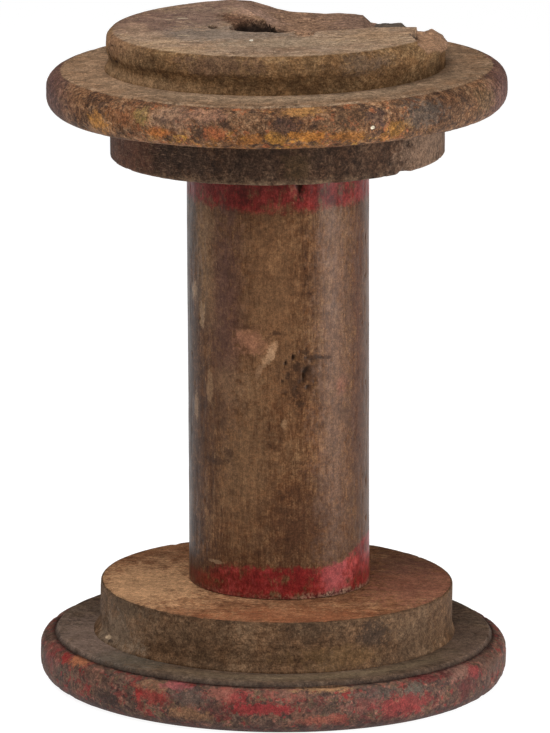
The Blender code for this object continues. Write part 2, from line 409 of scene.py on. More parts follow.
def old_wood(paint, seed, dark, middle, light, grain, fibre, mottle, blotch):
    """Old wood: fibres along the grain, mottling, blotches and specks. Gives its colour and its height."""
    tone = paint.layered(
        (grain, seed, fibre),
        (tuple(size * 4 for size in grain), seed + 1, fibre * 0.7),
        (2.4, seed + 2, mottle),
        (15.0, seed + 3, blotch),
        (0.7, seed + 4, mottle * 0.9),
    )
    colour = paint.ramp(tone, (0.22, dark), (0.5, middle), (0.78, light))
    hue = paint.step(paint.noise(11.0, seed + 5), 0.38, 0.62)
    warmer = paint.mix(1.0, colour, (1.0, 0.86, 0.74, 1.0), "MULTIPLY")
    colour = paint.mix(paint.both(hue, 0.5), colour, warmer)
    height = paint.layered((grain, seed, 0.8), (0.7, seed + 4, 0.6), (2.4, seed + 2, 0.5))
    return colour, height


def ragged_edges(paint, seed):
    """Noise that roughens the edges of spots, worn or painted."""
    return paint.layered((5.0, seed, 2.4), (1.8, seed + 1, 2.4), (0.7, seed + 2, 1.6))


# A row of these tables is a patch: centre and half size in mm, display colour and strength.
BOSS_TOP_PATCHES = (
    ((-50, 10, 42), (14, 28, 20), (112, 84, 74), 0.75),
    ((-30, 22, 42), (12, 20, 20), (118, 94, 84), 0.7),
    ((-14, 52, 42), (20, 12, 20), (122, 94, 82), 0.7),
    ((-24, -16, 42), (24, 14, 20), (126, 112, 100), 0.75),
    ((10, -34, 42), (30, 9, 20), (156, 136, 112), 0.5),
    ((38, -24, 42), (14, 14, 20), (170, 138, 106), 0.5),
    ((-12, 27, 42), (8, 13, 20), (142, 108, 84), 0.8),
    # painted highlight: a lighter tan ring along the rounded shoulder, round the left to the front
    ((-53.5, -1, 42), (4.5, 11, 20), (176, 144, 116), 0.5),
    ((-48.5, -16, 42), (5, 9, 20), (176, 144, 116), 0.5),
    ((-42.5, -31, 42), (6, 8, 20), (180, 148, 116), 0.55),
    ((-32, -46, 42), (9, 6, 20), (176, 144, 112), 0.5),
)

BOSS_SPECKS = (
    ((-9.4, -28.8, 41), (0.8, 1.7, 9), (240, 232, 214), 1.0),
    ((-36.2, 20, 41), (2, 1, 9), (206, 186, 158), 0.8),
    ((-35.2, -16.4, 41), (2.2, 0.8, 9), (192, 168, 138), 0.7),
)

BOSS_FLANK_PATCHES = (
    ((-22, -61, 37), (20, 8, 3.4), (106, 80, 66), 0.45),
    ((33, -56, 36), (12, 10, 3.4), (98, 82, 70), 0.5),
    ((8, -66, 30), (22, 8, 3), (76, 52, 30), 0.5),
)


def boss_material():
    paint = Paint("weathered_boss")
    across = (9.0, 0.7, 0.7)
    colour, height = old_wood(
        paint, 11, (98, 78, 62), (146, 121, 100), (186, 162, 136), across, 0.55, 0.5, 0.5
    )
    ragged = ragged_edges(paint, 13)
    colour = paint.spots(colour, ragged, BOSS_TOP_PATCHES, 0.5)
    flecks = paint.both(
        paint.step(paint.noise((2.6, 0.9, 2.0), 31, 2.0), 0.67, 0.72), paint.step(paint.y, 40.0, -10.0)
    )
    colour = paint.over(colour, (206, 186, 156), flecks, 0.75)
    small = paint.calc("MULTIPLY_ADD", ragged, 0.6, 0.2)
    colour = paint.spots(colour, small, BOSS_SPECKS, 0.2)
    # painted highlight: lighter tan along the rounded shoulder, broken into gaps
    gaps = paint.step(paint.noise((6.0, 3.0, 3.0), 33), 0.36, 0.56)
    colour = paint.over(colour, (186, 154, 118), paint.stored("edge"), gaps, 0.8)

    flank, flank_height = old_wood(
        paint, 21, (76, 54, 34), (112, 85, 57), (150, 120, 86), (1.6, 1.6, 0.7), 0.6, 0.5, 0.45
    )
    flank = paint.spots(flank, ragged, BOSS_FLANK_PATCHES, 0.6)
    # painted highlight on the upper flank facing left
    flank = paint.over(flank, (140, 104, 78), paint.stored("shoulder_highlight"), 0.75)
    flank = paint.over(flank, (158, 126, 94), paint.stored("dusty"), 0.65)
    side = paint.region("side", ragged, (0.2, -0.1), 0.22, 0.86)
    colour = paint.mix(side, colour, flank)

    wormy = paint.ramp(
        paint.layered(((2.2, 1.0, 1.0), 41, 1.6), (0.8, 42, 0.9)),
        (0.2, (70, 48, 35)),
        (0.5, (142, 108, 84)),
        (0.8, (182, 146, 114)),
    )
    smooth = paint.ramp(
        paint.layered(((9.0, 0.9, 0.9), 44, 1.2), (0.8, 45, 0.5)),
        (0.25, (96, 74, 62)),
        (0.75, (152, 120, 100)),
    )
    orange = paint.both(paint.spot((9.0, 36.0, 36.0), (12.0, 40.0, 30.0), ragged, 0.5), 0.75)
    broken = paint.mix(orange, smooth, wormy)
    light = paint.spot((60.0, -16.0, 36.0), (11.0, 34.0, 20.0), ragged, 0.3)
    broken = paint.mix(light, broken, paint.over(wormy, (168, 130, 100), 0.5))
    colour = paint.mix(paint.stored("fresh"), colour, broken)
    colour = paint.mix(paint.both(paint.stored("wormy"), 0.85), colour, wormy)
    red_rot = paint.spot((-16.0, 20.0, 38.0), (6.0, 12.0, 20.0), ragged, 0.4)
    colour = paint.over(colour, (86, 58, 44), red_rot, 0.75)
    pale = paint.spot((-8.0, 38.0, 40.0), (9.0, 11.0, 20.0), ragged, 0.4)
    colour = paint.over(colour, (164, 132, 114), pale, 0.55)
    # painted shade: the broken hollow behind the bore's front lip darkened
    shade_behind_lip = paint.both(paint.spot((-3.0, 8.0, 36.0), (12.0, 12.0, 20.0), ragged, 0.5), paint.stored("fresh"))
    colour = paint.over(colour, (54, 37, 26), shade_behind_lip, 0.85)
    strip = paint.ramp(
        paint.layered(((4.0, 1.2, 1.2), 47, 1.2), (0.8, 48, 0.7)),
        (0.25, (48, 42, 38)),
        (0.75, (112, 98, 86)),
    )
    colour = paint.mix(paint.stored("old"), colour, strip)
    colour = paint.over(colour, (52, 33, 22), paint.step(paint.stored("pit"), 0.12, 0.6), 0.75)
    # painted shade: the bore's hollow and the nail's hole darkened nearly to black
    colour = paint.over(colour, (26, 17, 11), paint.stored("hollow"), 0.93)
    height = paint.mix(side, height, flank_height)
    return paint.done(paint.grimy(colour, 191, 0.8, 0.8), 0.85, height, 0.3, 0.1)


TOP_RIM_PATCHES = (
    ((-67, -59, 15.6), (5.5, 6, 3.6), (186, 128, 62), 0.63),
    ((-58, -66, 19), (10, 9, 4), (142, 88, 52), 0.44),
    ((-50.5, -72.5, 20.5), (3.4, 4, 3.2), (156, 130, 72), 0.55),
    ((-45, -77, 15), (6, 5, 1.8), (180, 106, 52), 0.63),
    ((-38, -80, 21), (15, 8, 4), (150, 118, 98), 0.44),
    ((-26, -83, 23), (9, 6, 2.6), (172, 124, 98), 0.44),
    ((-23, -86.5, 15.5), (4, 4, 2.6), (172, 98, 62), 0.63),
    ((-10, -88.5, 14), (8, 5, 2.4), (172, 106, 44), 0.52),
    ((-0.5, -88.7, 14.2), (4.6, 4, 2.6), (202, 142, 60), 0.67),
    ((4, -89.3, 18.5), (5, 5, 4), (58, 45, 44), 0.63),
    ((12, -87.9, 14.6), (7, 4, 2.4), (196, 126, 50), 0.67),
    ((26, -86, 13.8), (8, 5, 2.2), (174, 110, 44), 0.63),
    ((9, -85, 24.2), (9, 5, 1.9), (208, 150, 84), 0.59),
    ((26, -84, 20), (9, 6, 4), (104, 80, 58), 0.44),
    ((45.5, -76.5, 15), (5.5, 5, 3.2), (194, 134, 54), 0.63),
    ((38.5, -80.5, 19), (3.6, 4, 4.4), (82, 62, 60), 0.52),
    ((56, -70, 19.6), (9, 8, 5), (122, 110, 98), 0.52),
    ((80, -40, 19), (6, 9, 5), (116, 92, 58), 0.44),
    # painted shade: the rim's right front darkened broadly
    ((62, -60, 17), (26, 26, 14), (66, 50, 40), 0.35),
    ((10, -88, 17), (36, 10, 14), (78, 50, 30), 0.2),
)


def top_rim_material():
    paint = Paint("worn_top_rim")
    colour, height = old_wood(
        paint, 51, (70, 44, 28), (126, 90, 62), (168, 132, 100), (3.0, 3.0, 1.2), 0.4, 0.9, 0.7
    )
    ragged = ragged_edges(paint, 53)
    low = paint.step(paint.z, 19.0, 12.0)
    front = paint.step(paint.y, -60.0, -80.0)
    ochre = paint.step(paint.layered((7.0, 61, 1.8), (1.8, 62, 1.2)), 0.52, 0.74)
    colour = paint.over(colour, (166, 108, 50), ochre, low, front, 0.7)
    rust = paint.step(paint.layered((5.0, 64, 1.8), (1.4, 65, 1.2)), 0.6, 0.8)
    colour = paint.over(colour, (168, 94, 56), rust, front, 0.7)
    yellow = paint.step(paint.layered((3.5, 67, 1.8), (1.0, 68, 1.0)), 0.68, 0.84)
    colour = paint.over(colour, (206, 152, 66), yellow, low, front, 0.8)
    dark = paint.step(paint.layered((6.5, 71, 1.8), (1.8, 72, 1.2)), 0.58, 0.76)
    colour = paint.over(colour, (66, 48, 38), dark, 0.75)
    ends = paint.step(paint.calc("ABSOLUTE", paint.x), 74.0, 88.0)
    purple = paint.ramp(paint.noise(1.6, 74), (0.3, (70, 42, 42)), (0.7, (122, 90, 84)))
    colour = paint.mix(paint.both(ends, 0.8), colour, purple)
    colour = paint.spots(colour, ragged, TOP_RIM_PATCHES)
    chip = ((36.2, -81.6, 16.6), (0.8, 1.2, 0.6), (250, 236, 206), 0.95)
    colour = paint.spots(colour, paint.calc("MULTIPLY_ADD", ragged, 0.5, 0.25), (chip,), 0.15)
    flat, flat_height = old_wood(
        paint, 76, (98, 72, 52), (139, 110, 84), (172, 144, 118), (6.0, 1.0, 1.0), 0.35, 0.5, 0.5
    )
    flat = paint.over(flat, (158, 132, 106), paint.stored("dusty"), 0.8)
    # painted light: the left of the rim's flat top lightened, where more light falls
    light_on_left = ((-68, -12, 26), (20, 44, 16), (182, 144, 111), 0.35)
    flat = paint.spots(flat, ragged, (light_on_left,), 0.5)
    upper = paint.region("upper", ragged, (0.25, -0.12), 0.3, 0.6)
    colour = paint.mix(upper, colour, flat)
    rim_line = paint.both(paint.stored("ridge"), paint.step(paint.noise((4.0, 4.0, 4.0), 78), 0.4, 0.6))
    colour = paint.over(colour, (184, 156, 128), rim_line, 0.7)
    colour = paint.over(colour, (46, 30, 20), paint.step(paint.stored("pit"), 0.1, 0.7), 0.8)
    height = paint.mix(upper, height, flat_height)
    return paint.done(paint.grimy(colour, 183, 0.95, 0.68), 0.72, height, 0.3, 0.15)


TOP_BACKING_PATCHES = (
    ((-58, -28, 0), (14, 20, 14), (118, 76, 58), 0.75),
    ((-36, -54, 0), (12, 14, 9), (66, 52, 44), 0.6),
    ((6.7, -64.6, -0.7), (5, 6, 5), (104, 80, 46), 0.55),
    ((-2, -65, 3), (26, 8, 8), (56, 42, 34), 0.5),
    ((58, -30, 0), (14, 20, 14), (150, 120, 98), 0.75),
)


def top_backing_material():
    paint = Paint("dark_top_backing")
    colour, height = old_wood(
        paint, 81, (42, 27, 18), (86, 62, 46), (128, 100, 78), (1.2, 3.0, 3.0), 0.45, 0.7, 0.6
    )
    ragged = ragged_edges(paint, 83)
    colour = paint.spots(colour, ragged, TOP_BACKING_PATCHES, 0.5)
    lines = paint.step(paint.noise((2.6, 2.6, 0.35), 87, 2.0, 0.5, 0.4), 0.55, 0.7)
    left = paint.step(paint.x, -10.0, -40.0)
    colour = paint.over(colour, (168, 132, 106), lines, left, 0.5)
    edge = paint.both(paint.stored("edge"), paint.step(paint.noise((4.0, 4.0, 4.0), 88), 0.4, 0.6))
    colour = paint.over(colour, (150, 122, 96), edge, 0.6)
    return paint.done(paint.grimy(colour, 185, 0.85, 0.52), 0.7, height, 0.2, 0.1)


BARREL_PATCHES = (
    ((-20.5, -28.8, 116), (6, 9, 38), (92, 64, 56), 0.7),
    ((-3.1, -35.3, 116), (9, 9, 34), (122, 88, 60), 0.6),
    ((-14, -32, 55), (10, 10, 26), (132, 101, 72), 0.45),
    ((-29.5, -19.5, 138), (4.5, 7, 18), (132, 101, 72), 0.8),
    ((-28.4, -21.1, 120), (3.5, 6, 12), (132, 101, 72), 0.7),
    ((-20, -29, 84), (8, 6, 5), (142, 108, 78), 0.5),
    ((-11.3, -33.6, 101.5), (5, 5, 4), (158, 108, 82), 0.75),
    ((9.3, -34.2, 88), (6, 6, 8), (62, 40, 26), 0.55),
    ((9.9, -34, 27.7), (13, 12, 18), (70, 43, 27), 0.7),
    ((-26, -24, 70), (6, 8, 15), (70, 43, 27), 0.45),
    ((30, -18, 66), (3, 6, 12), (60, 38, 32), 0.5),
    ((31, -17, 95), (2.6, 6, 56), (94, 52, 40), 0.55),
    ((23.8, -26.2, 83), (2.6, 4, 2.6), (140, 72, 56), 0.55),
    ((30, -18, 32), (5, 6, 14), (96, 66, 40), 0.4),
    ((-31, -15, 56), (6, 12, 60), (74, 48, 31), 0.5),
    # painted shade: dark full-height bands on the barrel's left and right sides, where it turns away from the
    # front
    ((-35, -4, 84), (4.5, 15, 110), (48, 30, 22), 0.8),
    ((33, -10, 84), (6, 15, 110), (66, 43, 30), 0.6),
    # painted sheen: a pale band down the barrel's right front stands for a softbox's reflection
    ((22, -28, 92), (6.5, 11, 80), (134, 106, 90), 0.36),
    ((31, -17, 60), (4.5, 9, 60), (84, 56, 40), 0.4),
)

BARREL_SCRATCHES = (
    ((-0.8, -35.4, 101), (1, 4, 1.8), (150, 114, 84), 0.6),
    ((-1.8, -35.3, 99.2), (1.2, 4, 2.2), (162, 124, 92), 0.75),
    ((-2.9, -35.3, 97.2), (1.4, 4, 2.4), (168, 132, 100), 0.85),
    ((-4.2, -35.2, 95.2), (1.3, 4, 2.2), (164, 128, 96), 0.8),
    ((-5.5, -35, 93.3), (1, 4, 2), (150, 116, 86), 0.7),
    ((-6.8, -34.8, 91.3), (0.9, 4, 2), (144, 110, 82), 0.6),
    ((-8.2, -34.5, 89.3), (0.8, 4, 2), (142, 108, 80), 0.55),
    ((-1, -35.3, 105.5), (2.2, 4, 1.2), (54, 35, 23), 0.7),
    ((-14, -32.6, 107.5), (5, 4, 1), (70, 46, 32), 0.6),
    ((14, -32.6, 95.4), (3, 4, 0.9), (54, 35, 23), 0.7),
    ((18.4, -30.3, 94.8), (2.4, 4, 0.8), (54, 35, 23), 0.7),
    ((10, -34, 97.6), (1.6, 4, 1.4), (54, 35, 23), 0.7),
    ((7, -34.8, 91.8), (1.3, 4, 2), (54, 35, 23), 0.7),
    ((11.6, -33.6, 90.6), (1.2, 4, 1.6), (54, 35, 23), 0.7),
    ((3.4, -35.2, 88.6), (1, 4, 1.8), (54, 35, 23), 0.7),
    ((6.4, -34.9, 82), (1.2, 4, 2.8), (56, 36, 23), 0.7),
    ((8, -34.5, 77.6), (1.6, 4, 1.2), (56, 36, 23), 0.7),
    ((-24, -26, 53), (5, 5, 1.4), (58, 37, 25), 0.6),
    ((-19, -30, 57), (2, 5, 1.2), (58, 37, 25), 0.55),
    ((-32.5, -14, 118), (1.1, 4, 4), (158, 126, 94), 0.6),
    ((-29.5, -19.6, 110), (1, 3, 5), (160, 128, 96), 0.6),
    ((-26.7, -23.3, 82.2), (1.2, 3, 7), (140, 108, 78), 0.55),
    ((-24.8, -25.3, 12.4), (3.6, 4, 0.7), (160, 128, 98), 0.6),
    ((2, -35, 70), (1.3, 4, 2), (146, 114, 84), 0.5),
    ((-32, -15, 72), (0.9, 3, 5), (154, 122, 92), 0.6),
    ((8.6, -34.4, 162.6), (1.9, 3, 4.4), (30, 19, 12), 0.95),
    ((6, -35, 161.6), (1.3, 3, 4), (176, 144, 104), 0.95),
)

BAND_PATCHES = (
    # painted sheen: a pink patch on the lower red band, in line with the barrel's painted sheen
    ((22, -28, 8), (5, 8, 10), (176, 88, 88), 0.6),
    ((3, -35, 7), (14, 8, 8), (128, 26, 30), 0.45),
)


def barrel_material():
    paint = Paint("worn_barrel")
    colour, height = old_wood(
        paint, 91, (54, 31, 17), (96, 64, 40), (136, 102, 71), (0.5, 0.5, 5.0), 0.65, 0.55, 0.45
    )
    ragged = ragged_edges(paint, 93)
    colour = paint.spots(colour, ragged, BARREL_PATCHES, 0.9)
    thin = paint.calc("MULTIPLY_ADD", ragged, 0.7, 0.15)
    colour = paint.spots(colour, thin, BARREL_SCRATCHES, 0.25)
    strokes = paint.step(paint.noise((1.1, 1.1, 5.0), 97, 3.0, 0.65, 0.3), 0.66, 0.72)
    worn_left = paint.step(paint.x, -16.0, -28.0)
    colour = paint.over(colour, (164, 130, 98), strokes, worn_left, 0.6)
    specks = paint.step(paint.noise((0.9, 0.9, 1.6), 99, 2.0), 0.70, 0.76)
    colour = paint.over(colour, (48, 30, 19), specks, 0.6)

    wave = paint.calc("MULTIPLY_ADD", ragged, 1.8, -0.9)
    up = paint.calc("ADD", paint.z, wave)
    down = paint.calc("SUBTRACT", paint.stored("length"), up)
    left, right = paint.step(paint.x, -18.0, -35.0), paint.step(paint.x, 22.0, 36.0)
    low_edge = paint.calc("MULTIPLY_ADD", left, -6.0, paint.calc("MULTIPLY_ADD", right, 8.0, 12.8))
    high_edge = paint.calc("MULTIPLY_ADD", left, -1.0, 16.0)
    low_band = paint.step(paint.calc("SUBTRACT", low_edge, up), -0.6, 2.0)
    high_band = paint.step(paint.calc("SUBTRACT", high_edge, down), -1.0, 2.6)
    thin_paint = paint.step(paint.layered((6.0, 113, 1.6), ((0.8, 0.8, 3.0), 114, 0.8)), 0.1, 0.5)
    low_band = paint.both(low_band, paint.calc("MULTIPLY_ADD", left, -0.5, 1.0))
    crimson = paint.ramp(
        paint.layered((3.0, 121, 0.8), ((0.7, 0.7, 2.0), 122, 0.8), (9.0, 123, 1.0)),
        (0.2, (88, 22, 18)),
        (0.5, (126, 36, 32)),
        (0.8, (164, 66, 62)),
    )
    crimson = paint.spots(crimson, ragged, BAND_PATCHES, 0.5)
    bands = paint.calc("MAXIMUM", low_band, high_band)
    colour = paint.mix(paint.both(bands, thin_paint, 0.93), colour, crimson)
    colour = paint.over(colour, (34, 21, 13), paint.step(paint.stored("pit"), 0.1, 0.8), 0.85)
    # painted shade: the barrel darkened over its top 22 mm, under the top head
    shade_under_top_head = paint.step(paint.calc("SUBTRACT", paint.stored("length"), paint.z), 22.0, 2.0)
    colour = paint.over(colour, (36, 20, 16), shade_under_top_head, 0.45)
    crumb = paint.ramp(paint.noise(1.0, 125), (0.42, (36, 24, 17)), (0.6, (150, 124, 100)))
    colour = paint.mix(paint.both(paint.stored("crumbs"), 0.85), colour, crumb)
    rough = paint.layered((8.0, 127, 0.5), (1.2, 128, 0.25))
    rough = paint.calc("MULTIPLY_ADD", rough, 0.5, 0.12)
    return paint.done(paint.grimy(colour, 187, 0.6, 0.75), rough, height, 0.06, 0.08)


BOTTOM_BACKING_TOP_PATCHES = (
    # partly the disc's own tan, partly painted light: its top lightened at the left, where more light falls
    ((-52, -14, 10), (26, 30, 12), (204, 158, 116), 0.8),
    ((6, -60, 10), (36, 12, 12), (146, 86, 56), 0.6),
    ((56, -8, 10), (20, 30, 12), (158, 102, 82), 0.7),
    ((50, 26, 10), (16, 14, 12), (112, 76, 64), 0.5),
)

BOTTOM_BACKING_FLANK_PATCHES = (
    ((-60, -34, 0), (14, 18, 20), (134, 106, 82), 0.5),
    ((-58, -38, 7), (12, 12, 4), (62, 52, 40), 0.55),
    ((37, -58, 2), (7, 8, 5), (50, 40, 34), 0.7),
    ((12, -68.5, 6), (10, 8, 4), (58, 44, 32), 0.6),
    ((24, -64, -5), (20, 10, 4), (112, 84, 52), 0.45),
    ((52, -44, 0), (12, 18, 20), (84, 66, 50), 0.4),
    ((-64, -30, -6), (12, 16, 7), (126, 108, 90), 0.6),
)

BOTTOM_BACKING_CHIP = (
    ((-65.3, -25.4, -8.2), (1.7, 2.2, 0.7), (186, 160, 130), 0.75),
    ((-64, -28.2, -8.8), (1.2, 2, 0.6), (48, 34, 26), 0.7),
)


def bottom_backing_material():
    paint = Paint("tan_bottom_backing")
    colour, height = old_wood(
        paint, 131, (88, 54, 34), (140, 97, 68), (184, 142, 104), (7.0, 0.8, 0.8), 0.6, 0.6, 0.7
    )
    ragged = ragged_edges(paint, 133)
    colour = paint.spots(colour, ragged, BOTTOM_BACKING_TOP_PATCHES, 0.5)
    flank, flank_height = old_wood(
        paint, 141, (62, 44, 29), (99, 74, 53), (136, 108, 82), (4.0, 4.0, 0.9), 0.3, 0.75, 0.5
    )
    flank = paint.spots(flank, ragged, BOTTOM_BACKING_FLANK_PATCHES, 0.4)
    side = paint.region("side", ragged, (0.2, -0.1), 0.35, 0.62)
    colour = paint.mix(side, colour, flank)
    grime = paint.both(paint.stored("edge"), paint.step(paint.noise(3.0, 147), 0.42, 0.6))
    colour = paint.over(colour, (58, 40, 26), grime, 0.8)
    colour = paint.over(colour, (46, 30, 20), paint.step(paint.stored("pit"), 0.1, 0.8), 0.8)
    colour = paint.spots(colour, paint.calc("MULTIPLY_ADD", ragged, 0.6, 0.2), BOTTOM_BACKING_CHIP, 0.25)
    height = paint.mix(side, height, flank_height)
    return paint.done(paint.grimy(colour, 189, 0.7, 0.8), 0.75, height, 0.22, 0.12)


# A row is a coat of old paint: width of its flakes in mm, seed, threshold, display colour and strength.
BOTTOM_RIM_COATS = (
    (7.0, 161, 0.50, (92, 70, 56), 0.8),
    (6.0, 163, 0.56, (66, 56, 50), 0.85),
    (5.5, 165, 0.58, (150, 104, 84), 0.8),
    (6.5, 167, 0.60, (140, 62, 54), 0.85),
    (4.5, 169, 0.64, (122, 100, 72), 0.75),
    (4.0, 171, 0.66, (158, 48, 46), 0.85),
    (3.0, 173, 0.70, (196, 128, 108), 0.7),
    (3.5, 175, 0.68, (54, 40, 36), 0.8),
)

BOTTOM_RIM_WOOD_PATCHES = (
    ((-72, -24, -10), (15, 34, 12), (150, 126, 112), 0.7),
    ((-58, -52, -10), (12, 12, 12), (92, 86, 74), 0.6),
    ((74, -20, -10), (10, 34, 12), (122, 98, 84), 0.6),
)

BOTTOM_RIM_PAINT_PATCHES = (
    ((-86, -25, -16), (6, 9, 6), (152, 76, 70), 0.54),
    ((-81.7, -40.1, -12.5), (3.6, 4.4, 2.2), (176, 44, 42), 0.85),
    ((-76.5, -45.1, -11.7), (6, 6, 2.2), (206, 128, 84), 0.81),
    ((-70, -58, -16), (6, 6, 4), (118, 84, 66), 0.54),
    ((-65.2, -66.2, -22.1), (4.6, 4.6, 3.4), (48, 44, 40), 0.81),
    ((-48.8, -78.7, -17.3), (8.5, 6, 3.2), (166, 58, 50), 0.77),
    ((-53, -74, -17), (2.2, 3, 1.8), (176, 44, 42), 0.85),
    ((-47.2, -77.9, -13.2), (6.5, 5, 2.2), (164, 126, 92), 0.68),
    ((-39, -81.1, -12.5), (6, 5, 1.3), (190, 94, 98), 0.72),
    ((-33.3, -85.9, -16.3), (10, 6, 3.2), (112, 98, 88), 0.68),
    ((-20.1, -88.2, -13.2), (8, 5, 3.2), (180, 104, 88), 0.72),
    ((-14.5, -89, -15), (3, 4, 3.2), (174, 56, 58), 0.72),
    ((-7.9, -91.3, -18.9), (14, 5, 2), (170, 44, 50), 0.81),
    ((-25, -88, -20.5), (6, 5, 4), (82, 50, 46), 0.63),
    ((-35, -85.3, -22.9), (9, 6, 2.6), (166, 122, 86), 0.77),
    ((4, -88, -13), (9, 5, 2.6), (158, 106, 88), 0.54),
    ((14, -87, -18), (8, 5, 4), (78, 66, 58), 0.54),
    ((18, -85.8, -11.8), (13, 4, 1), (198, 152, 106), 0.77),
    ((18, -89.6, -23.6), (12, 5, 1.8), (180, 100, 80), 0.77),
    ((37.9, -81.4, -14.1), (10, 6, 2.8), (84, 80, 72), 0.77),
    ((34, -84, -19), (8, 6, 3.2), (146, 84, 76), 0.63),
    ((54.1, -67.8, -11.8), (7, 6, 1.8), (118, 28, 34), 0.81),
    ((64, -58, -11.6), (6, 6, 1.8), (98, 28, 32), 0.77),
    ((52.6, -73, -15.2), (5, 5, 2.8), (114, 112, 98), 0.77),
    ((49.1, -75.8, -21.3), (13, 9, 4.4), (164, 58, 58), 0.81),
    ((71, -52.5, -13.2), (6.5, 7, 2.8), (172, 128, 110), 0.72),
    ((76, -47, -15), (3, 4, 2.4), (180, 62, 66), 0.77),
    ((72.7, -52.7, -19), (6, 6, 3.2), (108, 40, 42), 0.72),
    ((84.1, -30.4, -15), (6, 9, 5), (118, 92, 74), 0.63),
    # painted shade: the rim's right front darkened broadly
    ((74, -48, -17), (22, 34, 12), (74, 46, 42), 0.3),
)


def bottom_rim_material():
    paint = Paint("painted_bottom_rim")
    wood, height = old_wood(
        paint, 151, (58, 44, 34), (98, 79, 64), (132, 112, 92), (4.0, 4.0, 2.0), 0.3, 0.6, 0.6
    )
    wood = paint.over(wood, (140, 120, 92), paint.stored("dusty"), 0.6)
    ragged = ragged_edges(paint, 153)
    wood = paint.spots(wood, ragged, BOTTOM_RIM_WOOD_PATCHES, 0.7)
    coat = paint.ramp(
        paint.layered((2.0, 159, 1.2), (0.7, 160, 1.0)), (0.2, (76, 56, 46)), (0.8, (138, 110, 92))
    )
    for size, seed, level, tint, strength in BOTTOM_RIM_COATS:
        patch = paint.step(paint.layered((size, seed, 1.8), (1.5, seed + 1, 0.8)), level, level + 0.12)
        coat = paint.over(coat, tint, patch, strength)
    coat = paint.spots(coat, ragged, BOTTOM_RIM_PAINT_PATCHES, 0.35)
    # painted shade: the lower half of the painted bead darkened, where it faces down
    shade_underneath = paint.step(paint.calc("MULTIPLY_ADD", ragged, 5.0, paint.z), -20.5, -25.5)
    coat = paint.over(coat, (58, 42, 42), shade_underneath, 0.75)
    coat = paint.over(coat, (84, 56, 48), 0.34)
    painted = paint.region("painted", ragged, (0.2, -0.1), 0.4, 0.6)
    colour = paint.mix(painted, wood, coat)
    # painted shade: a dark line in the crease between the flat top and the painted bead
    colour = paint.over(colour, (44, 30, 25), paint.stored("crease"), 0.8)
    colour = paint.over(colour, (46, 30, 24), paint.step(paint.stored("pit"), 0.1, 0.8), 0.8)
    return paint.done(paint.grimy(colour, 181, 0.75, 0.64), 0.68, height, 0.28, 0.15)


def peg_material():
    paint = Paint("peg_wood")
    grain = paint.fine_grain(600.0)
    colour = paint.ramp(grain, (0.35, (120, 84, 54)), (0.65, (176, 136, 96)))
    return paint.done(colour, 0.75, grain, 0.1)


def iron_material():
    paint = Paint("rusty_iron")
    rust = paint.fine_grain(1500.0)
    colour = paint.ramp(rust, (0.4, (48, 36, 32)), (0.62, (110, 62, 38)))
    paint.shader.inputs["Metallic"].default_value = 0.5
    return paint.done(colour, 0.7, rust, 0.1)


# ---------------------------------------------------------------- bottom head


def add_bottom_rim(material):
    middle, radius, low, high, hole = lengths("bottom_rim_disc", BOTTOM)
    edge, seat = high - 0.9, high - 0.6
    crease = radius - 5.6
    corners = (
        (60.0, low, 0),
        (radius, low, 7.8),
        (radius, edge, 5.3),
        (crease, edge - 1.0, 0.5),
        (crease - 1.3, high - 0.1, 0.9),
        (crease - 4.0, high, 2.0),
        (69.0, seat, 0),
        (62.0, seat, 0),
    )
    grid = turned(corners, middle, hole, seat, low)
    out = np.hypot(grid[..., 0] - middle, grid[..., 1])
    wear = handling(grid, 3, 0.3) * ease(out, 67.0, 72.0)
    flaked = 0.22 * ease(fractal(grid, 5.0, 7), 0.1, 0.3) * ease(out, crease, crease + 1.5)
    pits = pitting(grid, 2.4, 5, 0.62, 0.5) * ease(out, 70.0, 76.0)
    nick = 1.6 * dent(grid, (-86.0, -27.0, low + 15.5), (3.0, 3.0, 2.0))
    nick = nick + 1.3 * dent(grid, (41.0, -80.0, high), (5.0, 3.0, 3.0))
    resting = ease(grid[..., 2], low, low + 1.0)
    mesh = skin("bottom_rim", worn(grid, (wear + flaked + pits + nick) * resting))
    store(mesh, "local", grid)
    store(mesh, "painted", ease(out, crease - 0.4, crease + 0.6))
    # where the crease's painted shade goes
    store(mesh, "crease", near(out, crease, 1.5) * (grid[..., 2] > low + 10.0))
    store(mesh, "dusty", near(out, 77.0, 7.0) * facing(grid, 20.0, 90.0))
    store(mesh, "pit", pits)
    place_piece("bottom_rim", mesh, BOTTOM, material, "bottom_rim_disc")


def add_bottom_backing(material):
    middle, radius, low, high, hole = lengths("bottom_backing_disc", BOTTOM)
    low = low - BACKING_SINK
    outer = ((66.0, low, 0), (radius, low, 0.5), (radius, high - 0.4, 0.9))
    corners = (*outer, (35.4, high, 0), (32.0, high, 0))
    grid = turned(corners, middle, hole, high, low)
    out = np.hypot(grid[..., 0] - middle, grid[..., 1])
    shown = ease(out, 34.0, 38.0)
    wear = handling(grid, 13, 0.25) * shown
    rim_edge = near(out, radius, 2.5) * near(grid[..., 2], high - 0.4, 2.5)
    chips = pitting(grid, 3.5, 15, 0.35, 0.8) * rim_edge + 0.5 * rim_edge * facing(grid, -60.0, 50.0)
    pits = pitting(grid, 2.0, 17, 0.68, 0.35) * shown
    nick = 1.0 * dent(grid, (-65.3, -25.4, low + 2.2), (2.0, 2.5, 1.2))
    fillet = np.maximum(facing(grid, -75.0, 65.0), 0.35)
    skirt = 3.2 * ease(grid[..., 2], low + 5.0, low) ** 2 * fillet * (out > radius - 1.0)
    mesh = skin("bottom_backing", worn(grid, wear + chips + pits + nick - skirt))
    store(mesh, "local", grid)
    store(mesh, "side", ease(out, radius - 1.6, radius - 0.2))
    store(mesh, "edge", rim_edge * (0.35 + facing(grid, -45.0, 60.0)))
    store(mesh, "pit", pits + 0.3 * chips)
    place_piece("bottom_backing", mesh, BOTTOM, material, "bottom_backing_disc")


# ---------------------------------------------------------------- barrel


